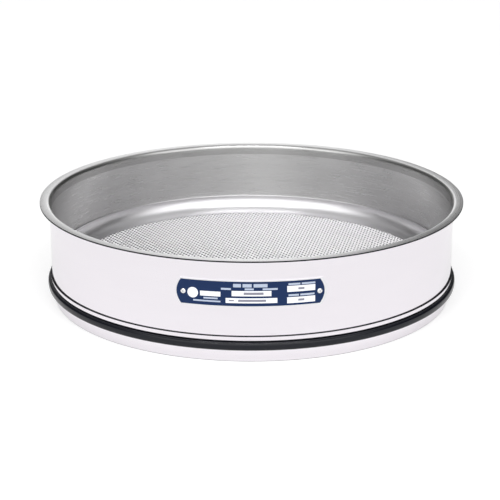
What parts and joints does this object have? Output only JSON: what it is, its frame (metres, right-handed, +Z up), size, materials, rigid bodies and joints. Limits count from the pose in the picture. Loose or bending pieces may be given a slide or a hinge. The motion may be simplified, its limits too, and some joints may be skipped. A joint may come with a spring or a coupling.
{
  "type": "test sieve",
  "caption": "Round steel laboratory sieve with woven wire cloth, a rolled-out rim, a skirt that fits into a like sieve's top, and a rubber ring.",
  "frame": {"origin": "centre of the skirt's bottom edge, on the surface that the sieve stands on", "axes": "+Z up along the sieve's axis, -Y towards the name plate, +X to the right of someone who faces the plate"},
  "size_m": [0.316, 0.316, 0.074],
  "materials": {
    "frame_steel": "polished outside, satin inside",
    "cloth_steel": "drawn wire",
    "ring_rubber": "semi-gloss",
    "plate_metal": "dark printed field with a bare edge",
    "stud_steel": "satin"
  },
  "bodies": {
    "root": {"upper_frame": "frame_steel", "retaining_ring": "frame_steel", "skirt": "frame_steel", "wire_cloth": "cloth_steel", "o_ring": "ring_rubber", "name_plate": "plate_metal", "stud_left": "stud_steel", "stud_right": "stud_steel"}
  },
  "joints": []
}
